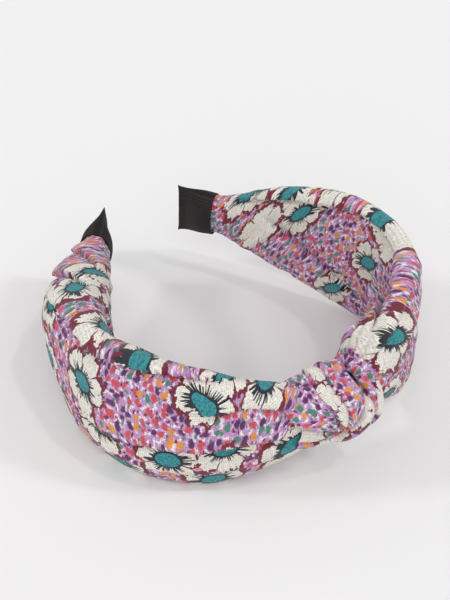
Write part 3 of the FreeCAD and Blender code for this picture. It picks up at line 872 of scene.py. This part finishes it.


# Edge curves, then crown in mm; pleats by share of the width, depth, lip and lean; flowers
knot_strand("knot_wrap",
            (((-10, -6, -15), (-13, -11.5, -5), (-20.5, -10, 8), (-25, -3, 14.5),
              (-25.5, 5, 12), (-22, 12, 6.5), (-14, 14, 2), (-6, 12.5, -2)),
             ((3, -6, -15), (4, -11.5, -5), (7, -9.5, 12), (7.5, -4, 16.6),
              (6, 4, 16), (8.5, 12, 9.5), (5.5, 14.5, 2.5), (-1, 12.5, -2.5))),
            1.5, ((0.5, 2.2, 1.0, -0.06), (0.7, 1.8, 1.3, -0.04)),
            ((33, 28, -3, 0.5), (44, 27, -5, 0.46), (54, 29, -2, 0.5), (10, 14, 4)))
knot_strand("knot_strap",
            (((6, -4, -15), (6.5, -11.5, -5), (7, -10, 12), (8.5, -4, 16.5), (9, 4, 15), (11, 10, 8),
              (11, 12.5, 1), (10, 10.5, -6), (9, 3, -14)),
             ((14, -4, -15), (14, -11.5, -5), (14.5, -9, 13), (15.5, -4, 18), (16, 3, 15.5), (18.5, 10, 7),
              (18, 11.5, -1), (15.5, 9, -8), (14, 3, -14))),
            2.0, ((0.5, 1.2, 1.0, 0.0),), ((59, 16, -2, 0.7), (12, 4, 3)))
knot_strand("knot_tail",
            (((-20, 10, 1), (-14, 12, -1), (-8, 12.3, -4), (-2, 10.5, -7)),
             ((-20, 4, -13), (-15, 6, -13), (-9, 7, -12.5), (-1, 7, -11.5))),
            1.5, ((0.5, 1.2, 0.8, 0.0),), ((15, 22, -3, 0.8), (4, 2, -4, 0.6)))


def knot_roll(name, points, radii, flowers, creases):
    """A roll of cloth along a curve, with creases along it; the radii are up and across."""
    path = curve_through(points, knot_curve_points)
    length = np.linalg.norm(np.diff(path, axis=0), axis=1).sum()
    girth = 2 * math.pi * max(radii)
    rows, columns = int(length / knot_cell), int(girth / knot_cell)

    def shape_of(unit, corner_vertex):
        way = unit_rows(np.gradient(path, axis=0))
        outward = path - path.mean(axis=0) * np.array([1.0, 0.3, 0.3])
        out = unit_rows(np.cross(way, np.cross(outward, way)))
        along = unit[:, 0] * (knot_curve_points - 1)
        spot, own_out, own_wide = [vectors_at(rows, along) for rows in (path, out, np.cross(way, out))]
        angle = 2 * math.pi * unit[:, 1]
        ends = np.sin(math.pi * np.clip(unit[:, 0], 0.02, 0.98)) ** 0.35
        cloth = np.stack([unit[:, 0] * length, unit[:, 1] * girth], axis=-1)
        height = wrinkles(cloth, roll_wrinkles)
        for at in creases:
            aside = np.angle(np.exp(1j * (angle - at))) * max(radii)
            (lip, lip_reach), (tuck, tuck_reach) = roll_crease
            roll = lip * np.exp(-aside / lip_reach)
            height += np.where(aside > 0, roll, -tuck * np.exp(aside / tuck_reach))
        places = spot + own_out * ((radii[0] * ends + height) * np.cos(angle))[:, None]
        places += own_wide * ((radii[1] * ends + height) * np.sin(angle))[:, None]
        return at_crown(places), cloth[corner_vertex]

    tie_in(name, *cloth_mesh(name, rows, columns, shape_of), flowers, fill=0.6)


knot_roll("knot_loop",
          ((9, 8, 8), (10, 12, 3.5), (8.5, 13.2, -1.5), (5, 12.8, -6), (0.5, 11, -9.5), (-4, 8, -12)),
          (2.7, 2.7), ((7, 9, -1, 0.9), (21, 3, 3, 1.1), (33, 10, -4, 0.9)), (0.6, 3.9))
knot_roll("knot_under_strand", ((-16.5, 0, 0), (-6, 0.5, 0), (6, 0.5, 0), (16.5, 0, 0)),
          (6.0, 12.0), ((6, 20, -4), (24, 50, 3)), (0.3, 1.4, 2.6, 3.5, 4.8))
tacks = frame["nodes"]["knot_tack_stitches"]
tacks.data.materials.clear()
tacks.data.materials.append(thread)


# Floor, light and camera: the headband lies on its side on a sheet of pale matt paper, in even
# light from all round with four softboxes, the widest of them in front.
floor_size = 6.0               # in metres
sky_strength = 0.60

floor_mesh = bpy.data.meshes.new("floor")
shape = bmesh.new()
bmesh.ops.create_grid(shape, x_segments=1, y_segments=1, size=floor_size)
shape.to_mesh(floor_mesh)
shape.free()
paper, tree, shader = new_material("pale matt paper", Base_Color=linear("#EDECEC"), Roughness=0.95)
floor = new_piece("floor", floor_mesh, paper, smooth=False)

world = bpy.data.worlds.new("studio")
world.use_nodes = True
world.node_tree.nodes["Background"].inputs["Color"].default_value = linear("#FFFFFF")
world.node_tree.nodes["Background"].inputs["Strength"].default_value = sky_strength
bpy.context.scene.world = world
bpy.context.scene.view_settings.view_transform = "Standard"

view_height = 38.90            # degrees above the floor
view_turn = -31.74             # degrees to the left of straight ahead
view_roll = 1.87
view_distance = 570.3
lens = 76.05
view_shift = (-0.008, -0.0093)

turn, height, roll = [math.radians(value) for value in (view_turn, view_height, view_roll)]
back = Vector((math.sin(turn) * math.cos(height), -math.cos(turn) * math.cos(height), math.sin(height)))
right = Vector((math.cos(turn), math.sin(turn), 0))
up = back.cross(right)
rolled_right = right * math.cos(roll) + up * math.sin(roll)
rolled_up = up * math.cos(roll) - right * math.sin(roll)
target = Vector(in_frame((0.0, 0.0, 0.0)))
camera_data = bpy.data.cameras.new("camera")
camera = bpy.data.objects.new("camera", camera_data)
bpy.context.collection.objects.link(camera)
matrix = camera.matrix_world
for i in range(3):
    matrix[i][0], matrix[i][1], matrix[i][2] = rolled_right[i], rolled_up[i], back[i]
    matrix[i][3] = target[i] + back[i] * view_distance * millimetre
camera.matrix_world = matrix
camera_data.lens = lens
camera_data.shift_x, camera_data.shift_y = view_shift
camera_data.clip_start = 0.01
bpy.context.scene.camera = camera


def soft_light(name, turn, height, strength, softness):
    """Even light as from a far softbox; its turn from +X, height and softness are in degrees."""
    light = bpy.data.lights.new(name, "SUN")
    light.energy = strength
    light.angle = math.radians(softness)
    lamp = bpy.data.objects.new(name, light)
    turn, height = math.radians(turn), math.radians(height)
    level = math.cos(height)
    towards = Vector((math.cos(turn) * level, math.sin(turn) * level, math.sin(height)))
    lamp.rotation_euler = towards.to_track_quat("Z", "Y").to_euler()
    bpy.context.collection.objects.link(lamp)


soft_light("left softbox", 152, 36, 0.5, 9)
soft_light("right softbox", 325, 42, 0.55, 8)
soft_light("top softbox", 309, 66, 0.25, 4)
soft_light("front softbox", 235, 38, 0.88, 50)
